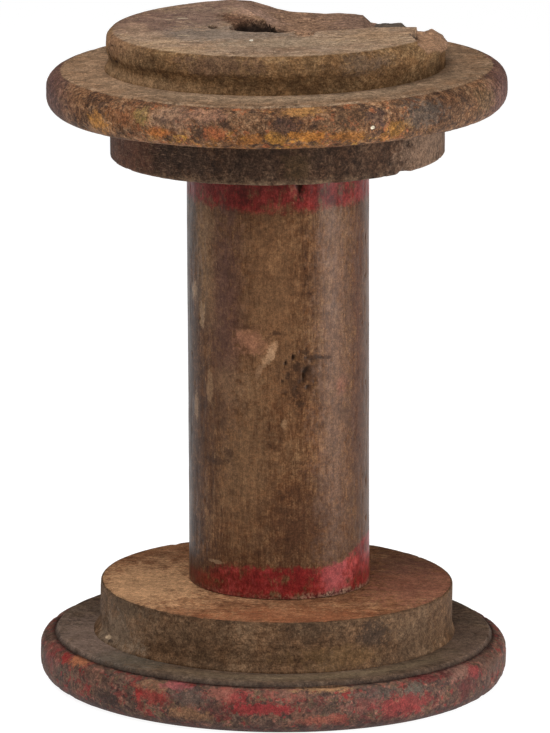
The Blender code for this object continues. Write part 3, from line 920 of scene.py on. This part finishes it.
def add_barrel(material):
    """The barrel runs between two frames: its foot is square to the bottom head, its top to the top head."""
    points = measured("barrel", BOTTOM)
    out = np.hypot(points[:, 0], points[:, 1])
    upper = measured("barrel", TOP)
    radius = np.abs(points[:, 1]).max()
    foot, head = points[:, 2].min(), upper[:, 2].max()
    at_foot = points[:, 2] < foot + 1.0
    hole, spigot = out[at_foot].min(), out[at_foot].max()
    shoulder = points[out > radius - 0.5][:, 2].min()
    top_shoulder = upper[np.hypot(upper[:, 0], upper[:, 1]) > radius - 0.5][:, 2].max()
    drop, lift = np.array(BOTTOM), np.array(TOP)

    angle = np.linspace(0.0, 2 * math.pi, STEPS_ROUND // 2, endpoint=False)
    ring = np.stack((np.cos(angle), np.sin(angle)), axis=-1)

    def ring_at(size, height, matrix):
        flat = np.column_stack((ring * size, np.full(len(ring), height)))
        return flat @ matrix[:3, :3].T + matrix[:3, 3] / MM

    start = ring_at(radius, shoulder, drop)
    end = ring_at(radius, top_shoulder, lift)
    length = np.linalg.norm(end.mean(axis=0) - start.mean(axis=0))
    share = np.linspace(0.0, 1.0, int(length / FINE) + 1)[:, None, None]
    shaft = start * (1.0 - share) + end * share
    local = np.empty(shaft.shape)
    local[..., :2] = ring * radius
    local[..., 2] = share[..., 0] * length
    outward = np.zeros(shaft.shape)
    outward[..., :2] = ring
    ends = np.minimum(local[..., 2], length - local[..., 2])
    wear = 0.22 * (0.5 + 0.5 * fractal(local, (14.0, 14.0, 60.0), 23))
    wear = wear + 0.12 * ease(fractal(local, (2.0, 2.0, 9.0), 25), 0.2, 0.7)
    pits = pitting(local, (1.3, 1.3, 3.0), 27, 0.72, 0.5)
    gouged = dent(local, (7.0, -34.5, 90.0), (16.0, 9.0, 18.0))
    gouges = pitting(local, (1.4, 1.4, 2.4), 29, 0.1, 1.6) * gouged
    splinter = 1.6 * dent(local, (8.4, -34.4, 164.0), (2.2, 3.0, 5.5))
    cut = 0.5 * dent(local, (-4.2, -35.1, 96.0), (3.0, 3.0, 6.0))
    pits = pits + gouges + splinter
    shaft = shaft - outward * ((wear + pits + cut) * np.clip(ends, 0.0, 1.0))[..., None]

    inner = (
        (spigot, top_shoulder, lift),
        (spigot, head, lift),
        (hole, head, lift),
        (hole, foot, drop),
        (spigot, foot, drop),
        (spigot, shoulder, drop),
    )
    grid = np.concatenate((shaft, [ring_at(*station) for station in inner]))
    hidden = [np.column_stack((ring * size, np.full(len(ring), length / 2))) for size, _, _ in inner]
    every = np.concatenate((local, hidden))
    unseen = np.zeros(len(inner) * len(ring))
    crumbs = ease(local[..., 2] + 1.4 * lumps(local, 1.6, 31), 2.6, 0.6)
    crumbs = crumbs * (0.3 + 0.7 * facing(local, 45.0, 70.0))
    mesh = skin("barrel_body", grid)
    store(mesh, "local", every)
    store(mesh, "length", np.full(len(mesh.vertices), length))
    store(mesh, "pit", np.concatenate((pits.ravel(), unseen)))
    store(mesh, "crumbs", np.concatenate((crumbs.ravel(), unseen)))
    place_piece("barrel_body", mesh, Matrix.Identity(4), material, "barrel")


# ---------------------------------------------------------------- top head


def add_top_backing(material):
    middle, radius, low, high, hole = lengths("top_backing_disc", TOP)
    corners = ((32.0, low, 0), (radius, low, 1.4), (radius, high, 0.4), (62.0, high, 0))
    grid = turned(corners, middle, hole, high, low)
    out = np.hypot(grid[..., 0], grid[..., 1])
    wear = handling(grid, 33, 0.25) * ease(out, 36.0, 40.0) * ease(grid[..., 2], high, high - 2.0)
    arris = near(out, radius, 3.0) * near(grid[..., 2], low, 3.5)
    chips = pitting(grid, 4.0, 35, 0.4, 0.9) * arris * (0.4 + facing(grid, 50.0, 40.0))
    chips = chips + 1.6 * dent(grid, (49.0, -43.0, low), (5.0, 5.0, 3.0))
    mesh = skin("top_backing", worn(grid, wear + chips))
    store(mesh, "local", grid)
    store(mesh, "edge", arris * (0.4 + facing(grid, 0.0, 60.0)))
    place_piece("top_backing", mesh, TOP, material, "top_backing_disc")


def add_top_rim(material):
    middle, radius, low, high, hole = lengths("top_rim_disc", TOP)
    flat = radius - 7.0
    outer = ((62.0, low, 0), (radius, low, 7.2), (radius, high - 0.2, 7.0))
    corners = (*outer, (66.6, high, 0), (60.0, high, 0))
    grid = turned(corners, middle, hole, high, low)
    out = np.hypot(grid[..., 0], grid[..., 1])
    wear = handling(grid, 43, 0.3) * ease(out, 67.0, 72.0)
    on_top = ease(out, 70.0, flat) * ease(grid[..., 2], high - 5.0, high - 1.0)
    wear = wear + on_top * facing(grid, -5.0, 60.0)
    rough = 0.35 * ease(fractal(grid, 4.0, 47), 0.0, 0.5) * ease(out, flat, flat + 3.0)
    rough = rough * ease(grid[..., 1], -30.0, -70.0)
    pits = pitting(grid, 2.4, 45, 0.62, 0.5) * ease(out, 70.0, 76.0)
    slit = dent(grid, (-79.5, -15.0, high - 0.5), (2.2, 1.0, 2.0))
    chip = 1.8 * dent(grid, (82.0, 16.0, high), (4.0, 5.0, 3.0))
    ridge = 0.4 * near(out, flat - 0.5, 1.4) * (grid[..., 2] > high - 2.0)
    lost = wear + rough + pits + 1.6 * slit + chip - ridge * ease(out, 70.0, 76.0)
    mesh = skin("top_rim", worn(grid, lost))
    store(mesh, "local", grid)
    store(mesh, "upper", ease(out, flat + 2.4, flat) * (grid[..., 2] > high - 4.0))
    store(mesh, "dusty", near(out, 70.0, 9.0) * (0.3 + facing(grid, 10.0, 90.0)))
    on_ridge = near(out, flat + 0.4, 1.6) * (grid[..., 2] > high - 3.0)
    store(mesh, "ridge", on_ridge * facing(grid, 5.0, 75.0))
    store(mesh, "pit", pits + 2.0 * slit)
    place_piece("top_rim", mesh, TOP, material, "top_rim_disc")


# The break in plan, mm: its front line and its depth for each x, and the top face's right edge for each y.
BREAK_FRONT = (
    (-17.0, 56.0), (-9.0, 32.0), (-2.0, 12.0), (4.0, -4.0), (8.0, -10.0), (15.4, -11.5), (20.8, -9.7),
    (30.0, -7.2), (34.6, -6.2), (37.5, -1.5), (38.5, 8.0), (50.0, 9.0), (57.0, 9.0), (60.0, 13.0),
    (80.0, 13.0),
)
BREAK_DEPTH = (
    (-17.0, 0.0), (-10.0, 1.4), (-5.0, 3.4), (0.0, 5.1), (5.0, 6.2), (15.0, 6.8), (25.0, 6.5), (34.0, 6.3),
    (37.0, 8.9),
)
FACE_EDGE = ((-60.0, 60.0), (-40.0, 54.2), (-27.0, 52.0), (-12.0, 49.3), (-3.0, 46.6), (20.0, 36.0))


def hollow_reach(x, y):
    """1 at the middle of the worn mouth of the bore, 0 at its edge."""
    round_bore = 1.0 - np.hypot((x + 5.6) / 12.8, (y + 1.6) / 10.8)
    beside_it = 1.0 - np.hypot((x - 1.2) / 7.0, (y + 7.4) / 6.6)
    return np.maximum(round_bore, beside_it)


def nail_reach(x, y):
    """1 at the middle of the worn mouth of the nail's hole, 0 at its edge."""
    return 1.0 - np.hypot((x + 24.3) / 2.1, (y - 1.2) / 3.6)


def boss_loss(x, y):
    """Depth in mm lost from the boss's top face at each plan point; below zero where nothing is lost."""
    flat = np.stack((x, y, np.zeros_like(x)), axis=-1)
    fibres = lumps(flat, (14.0, 1.4, 1.0), 201)
    ragged = 0.5 * fractal(flat, (5.0, 2.0, 1.0), 203)
    coarse = fractal(flat, (15.0, 5.0, 1.0), 205)

    behind = y - np.interp(x, *np.array(BREAK_FRONT).T)
    floor = np.interp(x, *np.array(BREAK_DEPTH).T) + 0.25 * fibres + 0.3 * coarse
    split = np.minimum(floor, 2.2 * (behind + 1.5 * ragged))

    right_of = x - np.interp(y, *np.array(FACE_EDGE).T)
    vee = 0.95 * right_of + 0.25 * fibres
    ledge = 4.7 + 0.3 * fibres + 0.3 * coarse + 0.6 * np.maximum(x - 60.5, 0.0)
    strip = 0.35 + 0.42 * np.maximum(x - 48.5, 0.0) + 0.08 * np.maximum(y, 0.0) + 0.35 * coarse
    strip = np.minimum(np.maximum(strip, 0.15), 2.0 * (y + 5.0 + ragged))
    weathered = y > -26.8 + 5.1 * (x - 50.0)
    right = np.where(weathered, strip * (x > 36.0), np.minimum(vee, ledge))
    right = np.where(right_of > 7.5, np.maximum(right, ledge), right)

    hollow = np.minimum(26.0 * hollow_reach(x, y), 12.0 + 1.5 * fibres)
    eaten = 1.0 - np.hypot((x + 8.5) / 9.5, (y - 8.0) / 12.0) + 0.3 * ragged
    eaten = np.minimum(14.0 * eaten, 7.0 + fibres)
    shed = 1.0 - np.hypot((x + 12.0) / 9.0, (y - 22.0) / 15.0) + 0.2 * ragged
    tongue = 1.0 - np.hypot((x - 11.0) / 4.0, (y + 14.0) / 9.5) + 0.25 * ragged
    skinned = np.maximum(shed, tongue)
    worms = np.clip(lumps(flat, (2.4, 1.3, 1.0), 207) + 0.35, 0.0, 1.0)
    shallow = np.minimum(4.0 * skinned, 0.5 + 1.3 * worms)
    nail = np.minimum(9.0 * nail_reach(x, y), 8.0)
    return np.maximum.reduce((split, right, hollow, eaten, shallow, nail))


def loss_cutter(top):
    """A closed block whose underside is the broken surface."""
    spacing, clear = 0.5, 8.0
    x, y = np.meshgrid(np.arange(-32.0, 72.0, spacing), np.arange(-56.0, 72.0, spacing), indexing="ij")
    loss = boss_loss(x, y)
    sunk = np.where(loss > 0.0, loss + face_wear(y), np.maximum(loss, -3.0))
    under = np.stack((x, y, top - sunk), axis=-1)
    over = np.stack((x, y, np.full_like(x, top + clear)), axis=-1)
    across, deep = x.shape
    here = np.arange(across * deep).reshape(across, deep)
    quads = np.stack((here[:-1, :-1], here[:-1, 1:], here[1:, 1:], here[1:, :-1]), axis=-1).reshape(-1, 4)
    lift = across * deep
    edge = np.concatenate((here[:-1, 0], here[-1, :-1], here[:0:-1, -1], here[0, :0:-1]))
    ahead = np.roll(edge, -1)
    walls = np.stack((edge, ahead, ahead + lift, edge + lift), axis=-1)
    faces = np.concatenate((quads, quads[:, ::-1] + lift, walls))
    mesh = bpy.data.meshes.new("boss_loss")
    points = np.concatenate((under.reshape(-1, 3), over.reshape(-1, 3))) * MM
    mesh.from_pydata(points, [], faces.tolist())
    mesh.update()
    return mesh


def cut_away(mesh, cutter_mesh):
    """The first mesh with the second one's space removed."""
    body = bpy.data.objects.new("body", mesh)
    cutter = bpy.data.objects.new("cutter", cutter_mesh)
    for thing in (body, cutter):
        bpy.context.scene.collection.objects.link(thing)
    modifier = body.modifiers.new("cut", "BOOLEAN")
    modifier.operation = "DIFFERENCE"
    modifier.solver = "MANIFOLD"
    modifier.object = cutter
    bpy.context.view_layer.update()
    result = bpy.data.meshes.new_from_object(body.evaluated_get(bpy.context.evaluated_depsgraph_get()))
    for thing in (body, cutter):
        bpy.data.objects.remove(thing, do_unlink=True)
    return result


def face_wear(y):
    """How far the boss's top face is worn down, most at the front."""
    return np.clip(0.45 - 0.0068 * y, 0.0, None)


def boss_pits(points, out, middle, high, band):
    """Worm holes at the boss's left, where band is 1, and pits in its front edge."""
    patch = facing(points, -73.0, 17.0, middle) * (out > 59.0) * band
    worms = pitting(points, (2.2, 2.2, 1.4), 55, 0.15, 1.1) * ease(patch, 0.0, 0.3)
    front = dent(points, (-16.5, -55.0, high), (11.0, 5.5, 3.5))
    return worms + pitting(points, (2.0, 1.4, 1.4), 59, 0.1, 1.4) * front


def add_boss(material):
    """The boss is turned and worn, then cut; what its material reads is worked out again on the cut mesh."""
    middle, foot, low, high, hole = lengths("top_boss_disc", TOP)
    low = low - BOSS_SINK
    waist, shoulder = foot - 2.6, foot - 1.4
    visible = rounded(
        (
            (foot, low, 0),
            (foot, low + 0.4, 0),
            (waist, low + 3.6, 3.2),
            (shoulder, high - 8.4, 0),
            (shoulder, high, 3.2),
            (hole, high, 0),
            (hole, low, 0),
        )
    )
    grid = swept(section(visible, np.empty((0, 2))), middle, hole)
    out = np.hypot(grid[..., 0] - middle, grid[..., 1])
    flare = np.maximum(out - waist, 0.0) * ease(grid[..., 2], high - 8.0, high - 10.0)
    kept = 0.75 * facing(grid, -82.0, 62.0, middle)
    narrower = 1.0 - flare * (1.0 - kept) / np.maximum(out, 1.0)
    grid[..., 0] = middle + (grid[..., 0] - middle) * narrower
    grid[..., 1] *= narrower
    above = ease(grid[..., 2], low, low + 1.5) * ease(out, 12.0, 15.0)
    leftward = facing(grid, -80.0, 75.0, middle)
    knuckle = near(out, shoulder - 1.0, 6.0) * near(grid[..., 2], high - 1.0, 6.0)
    wear = handling(grid, 53, 0.22) * above + 0.5 * knuckle * leftward
    pits = pitting(grid, 2.1, 57, 0.72, 0.35) * above
    pits = pits + boss_pits(grid, out, middle, high, near(grid[..., 2], high - 5.0, 6.0))
    grid_worn = worn(grid, wear + pits)
    sinking = face_wear(grid[..., 1]) * ease(grid[..., 2], high - 6.0, high - 1.0) * (out > hole + 0.5)
    grid_worn[..., 2] -= sinking
    mesh = cut_away(skin("boss", grid_worn), loss_cutter(high))

    flat = np.empty(len(mesh.vertices) * 3)
    mesh.vertices.foreach_get("co", flat)
    points = flat.reshape(-1, 3) / MM
    x, y = points[:, 0], points[:, 1]
    loss = boss_loss(x, y)
    depth = high - face_wear(y) - points[:, 2]
    out = np.hypot(x - middle, y)
    on_break = ease(np.abs(depth - loss), 0.9, 0.3) * (loss > 0.2)
    weathered = (x > 36.5) * (y > -26.8 + 5.1 * (x - 52.0)) * (y < 12.0) * (depth < 4.2)
    shed = np.hypot((x + 12.0) / 10.0, (y - 22.0) / 16.0) < 1.0
    tongue = np.hypot((x - 11.0) / 5.0, (y + 14.0) / 10.5) < 1.0
    knuckle = near(depth, 0.6, 2.2) * near(out, shoulder - 4.5, 6.5) * (1.0 - on_break)
    store(mesh, "local", points)
    store(mesh, "fresh", on_break * (depth > 0.9))
    store(mesh, "old", on_break * weathered)
    store(mesh, "wormy", on_break * (shed | tongue) * (depth < 3.0))
    eaten = np.hypot((x + 8.5) / 11.0, (y - 8.0) / 13.5) < 1.0
    # painted shade: where the worn hollow and the nail's hole are darkened
    shade_in_hollow = ease(depth, 1.2, 3.6) * ((hollow_reach(x, y) > -0.1) | eaten)
    shade_in_nail_hole = ease(depth, 0.3, 1.2) * (nail_reach(x, y) > -0.2)
    store(mesh, "hollow", np.maximum(shade_in_hollow, shade_in_nail_hole))
    store(mesh, "side", ease(out - 61.5 + depth, 0.0, 4.4))
    # painted highlight: the upper left flank and the rounded shoulder, most on the left and front
    store(mesh, "shoulder_highlight", facing(points, -75.0, 30.0, middle) * ease(depth, 10.0, 2.0))
    store(mesh, "dusty", near(depth, 13.5, 3.0) * (0.1 + facing(points, -60.0, 50.0, middle)))
    highlight_sides = 0.1 + facing(points, -42.0, 50.0, middle) + 0.5 * facing(points, 25.0, 40.0, middle)
    store(mesh, "edge", knuckle * highlight_sides)
    store(mesh, "pit", boss_pits(points, out, middle, high, near(depth, 5.0, 6.0)))
    place_piece("boss", mesh, TOP, material, "top_boss_disc")


# ---------------------------------------------------------------- studio


def add_camera():
    data = bpy.data.cameras.new("camera")
    data.lens = CAMERA_LENS
    data.sensor_width = CAMERA_SENSOR
    data.clip_end = 20.0
    camera = bpy.data.objects.new("camera", data)
    bpy.context.scene.collection.objects.link(camera)
    back = Vector((0.0, -math.cos(CAMERA_ELEVATION), math.sin(CAMERA_ELEVATION)))
    tilt = Matrix.Rotation(math.pi / 2 - CAMERA_ELEVATION, 4, "X") @ Matrix.Rotation(CAMERA_ROLL, 4, "Z")
    camera.matrix_world = Matrix.Translation(CAMERA_TARGET + back * CAMERA_DISTANCE) @ tilt
    bpy.context.scene.camera = camera


def add_softbox(name, place, size, power):
    """A rectangular light that faces the middle of the spool."""
    data = bpy.data.lights.new(name, "AREA")
    data.shape = "RECTANGLE"
    data.size, data.size_y = size
    data.energy = power
    light = bpy.data.objects.new(name, data)
    light.location = place
    light.rotation_euler = (LIGHT_AIM - Vector(place)).to_track_quat("-Z", "Y").to_euler()
    bpy.context.scene.collection.objects.link(light)


def pale_surroundings():
    """A world that looks as pale as the floor and gives little light of its own."""
    world = bpy.data.worlds.new("studio")
    world.use_nodes = True
    tree = world.node_tree
    dim, pale = tree.nodes["Background"], tree.nodes.new("ShaderNodeBackground")
    for background, strength in ((dim, WORLD_LIGHT), (pale, WORLD_SEEN)):
        background.inputs["Color"].default_value = (1.0, 1.0, 1.0, 1.0)
        background.inputs["Strength"].default_value = strength
    ray, either = tree.nodes.new("ShaderNodeLightPath"), tree.nodes.new("ShaderNodeMixShader")
    tree.links.new(ray.outputs["Is Camera Ray"], either.inputs[0])
    tree.links.new(dim.outputs[0], either.inputs[1])
    tree.links.new(pale.outputs[0], either.inputs[2])
    tree.links.new(either.outputs[0], tree.nodes["World Output"].inputs["Surface"])
    return world


def add_studio():
    """The pale floor, the world and five softboxes, each with a place and size in m and a power in W."""
    mesh = bpy.data.meshes.new("floor")
    corners = [(x * FLOOR_REACH, y * FLOOR_REACH, 0.0) for x, y in ((-1, -1), (1, -1), (1, 1), (-1, 1))]
    mesh.from_pydata(corners, [], [(0, 1, 2, 3)])
    material = bpy.data.materials.new("pale_floor")
    material.use_nodes = True
    shader = material.node_tree.nodes["Principled BSDF"]
    shader.inputs["Base Color"].default_value = (0.25, 0.25, 0.25, 1.0)
    shader.inputs["Roughness"].default_value = 0.9
    shader.inputs["Specular IOR Level"].default_value = 0.0
    shader.inputs["Emission Color"].default_value = (1.0, 1.0, 1.0, 1.0)
    shader.inputs["Emission Strength"].default_value = 0.92
    mesh.materials.append(material)
    floor = bpy.data.objects.new("floor", mesh)
    bpy.context.scene.collection.objects.link(floor)

    bpy.context.scene.world = pale_surroundings()
    bpy.context.scene.view_settings.view_transform = "Standard"
    add_softbox("right_strip", (0.52, -0.22, 0.12), (0.14, 0.22), 1.7)
    add_softbox("right_softbox", (1.15, -0.6, 0.8), (0.8, 0.8), 3.0)
    add_softbox("front_softbox", (-0.2, -1.3, 0.9), (0.8, 0.8), 6.5)
    add_softbox("left_softbox", (-0.75, -0.3, 1.5), (0.8, 0.8), 13.0)
    add_softbox("top_softbox", (0.1, -0.3, 1.8), (1.0, 1.0), 11.5)


def finish_cad_node(node, material):
    """Gives a CAD piece that stays its own material."""
    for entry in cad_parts[node].material_slots:
        entry.material = material


def build():
    add_camera()
    add_studio()
    add_bottom_rim(bottom_rim_material())
    add_bottom_backing(bottom_backing_material())
    add_barrel(barrel_material())
    add_top_backing(top_backing_material())
    add_top_rim(top_rim_material())
    add_boss(boss_material())
    peg_wood = peg_material()
    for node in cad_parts:
        if "_peg_" in node:
            finish_cad_node(node, peg_wood)
    finish_cad_node("boss_nail", iron_material())


build()
